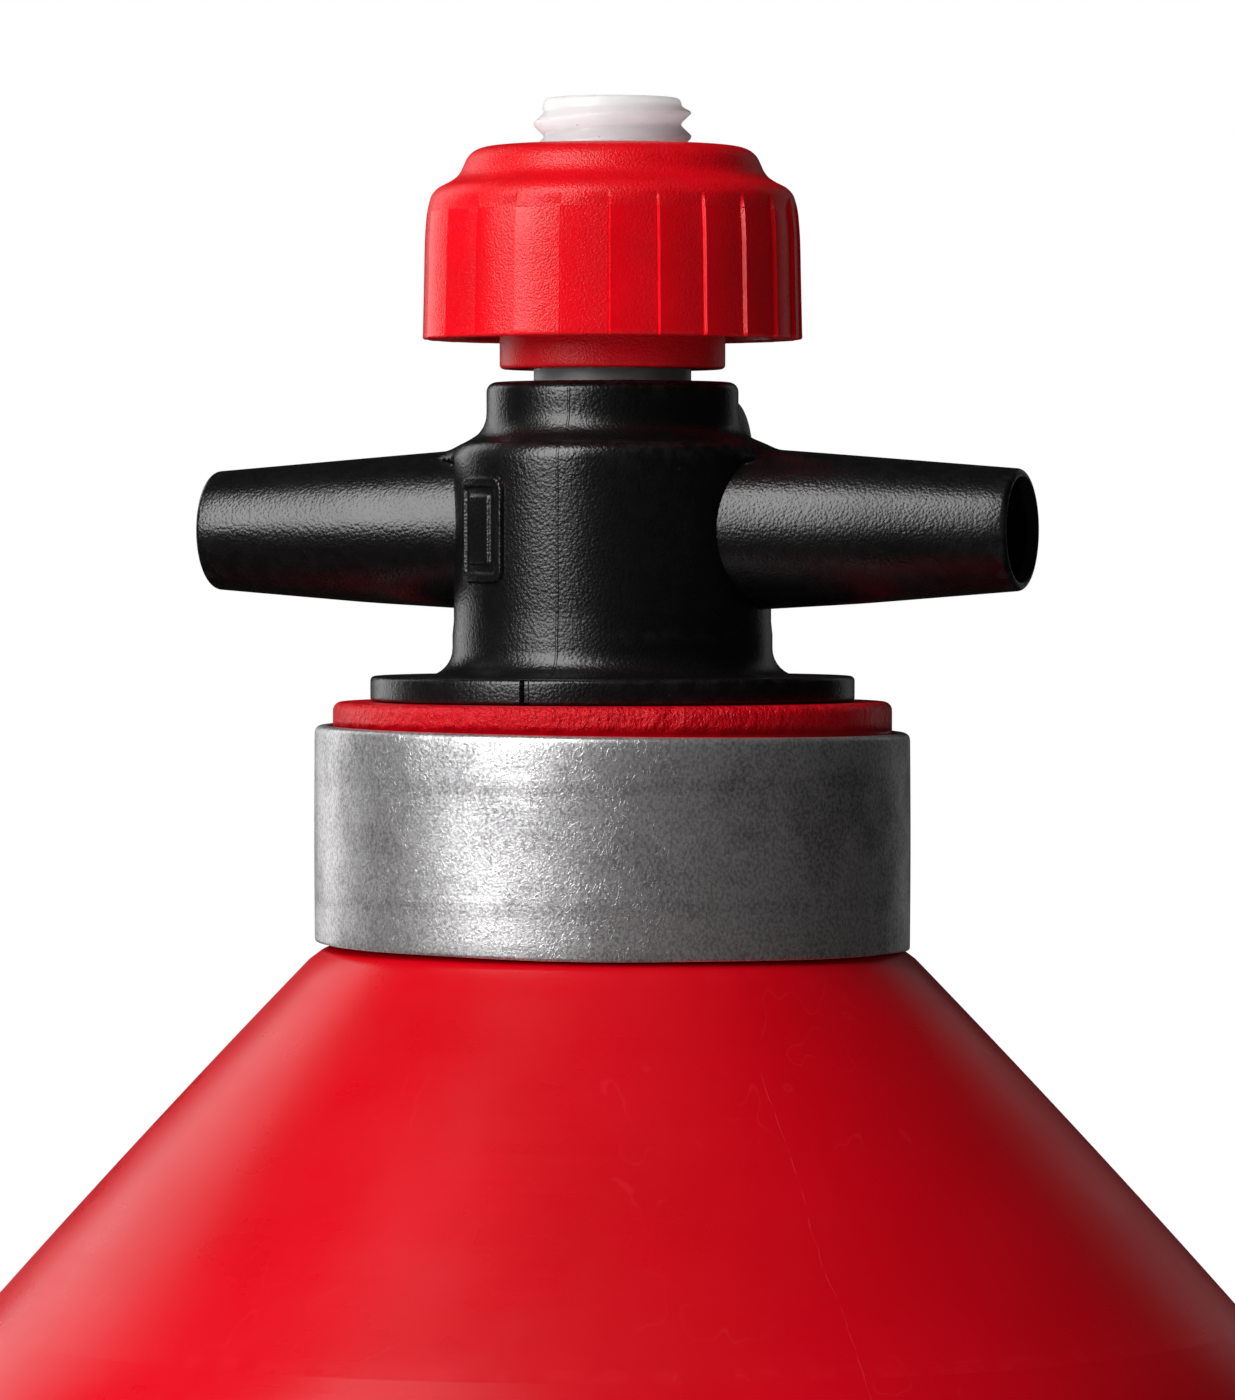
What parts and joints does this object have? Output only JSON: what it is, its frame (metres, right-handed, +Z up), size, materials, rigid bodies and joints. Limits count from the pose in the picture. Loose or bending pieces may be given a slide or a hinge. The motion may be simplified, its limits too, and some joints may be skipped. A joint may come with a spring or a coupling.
{
  "type": "fuel bottle with pour valve",
  "caption": "Round red plastic fuel bottle with a conical shoulder, a metal-collared neck and a screw-in, push-to-open pour valve with tapered arms and a fluted locking knob.",
  "frame": {"origin": "middle of the base, on the surface that the bottle stands on", "axes": "+Z up along the bottle and the valve spindle; X along the two valve arms; +Y towards the lanyard eye"},
  "size_m": [0.075, 0.075, 0.1897],
  "materials": {
    "bottle_red": "satin blow-moulded polyethylene",
    "collar_aluminium": "mottled, lightly worn",
    "seal_rubber": "matte",
    "housing_black": "fine moulded grain",
    "spring_steel": "bright drawn",
    "spindle_white": "milky, slightly translucent",
    "knob_red": "satin with fine moulded grain"
  },
  "bodies": {
    "bottle": {"bottle_body": "bottle_red", "neck_collar": "collar_aluminium"},
    "gasket": {"neck_gasket": "seal_rubber"},
    "housing": {"valve_housing": "housing_black", "valve_seat": "housing_black", "return_spring": "spring_steel"},
    "plunger": {"stem_seal": "seal_rubber", "valve_disc": "seal_rubber", "disc_washer": "spring_steel", "retaining_clip": "spring_steel"},
    "spindle": {"valve_spindle": "spindle_white"},
    "knob": {"control_knob": "knob_red"}
  },
  "joints": [
    {"name": "valve_lift", "type": "slide", "parent": "bottle", "child": "gasket", "axis": [0, 0, 1], "range_m": [0, 0.01562]},
    {"name": "valve_unscrew", "type": "hinge", "parent": "gasket", "child": "housing", "pos_m": [0, 0, 0.159], "axis": [0, 0, 1], "range_deg": [0, 2250]},
    {"name": "plunger_press", "type": "slide", "parent": "housing", "child": "plunger", "axis": [0, 0, -1], "range_m": [0, 0.00035], "stiffness_N_per_m": 600, "springref_m": -0.005, "deforming": ["return_spring"]},
    {"name": "knob_turn", "type": "hinge", "parent": "plunger", "child": "spindle", "pos_m": [0, 0, 0.18], "axis": [0, 0, 1], "range_deg": [-75, 810]},
    {"name": "knob_climb", "type": "slide", "parent": "spindle", "child": "knob", "axis": [0, 0, 1], "range_m": [-0.00026, 0.00281]}
  ],
  "couplings": [
    {"joint": "valve_unscrew", "follows": "valve_lift", "rad_per_m": 2513.3},
    {"joint": "knob_turn", "follows": "knob_climb", "rad_per_m": 5026.6}
  ]
}
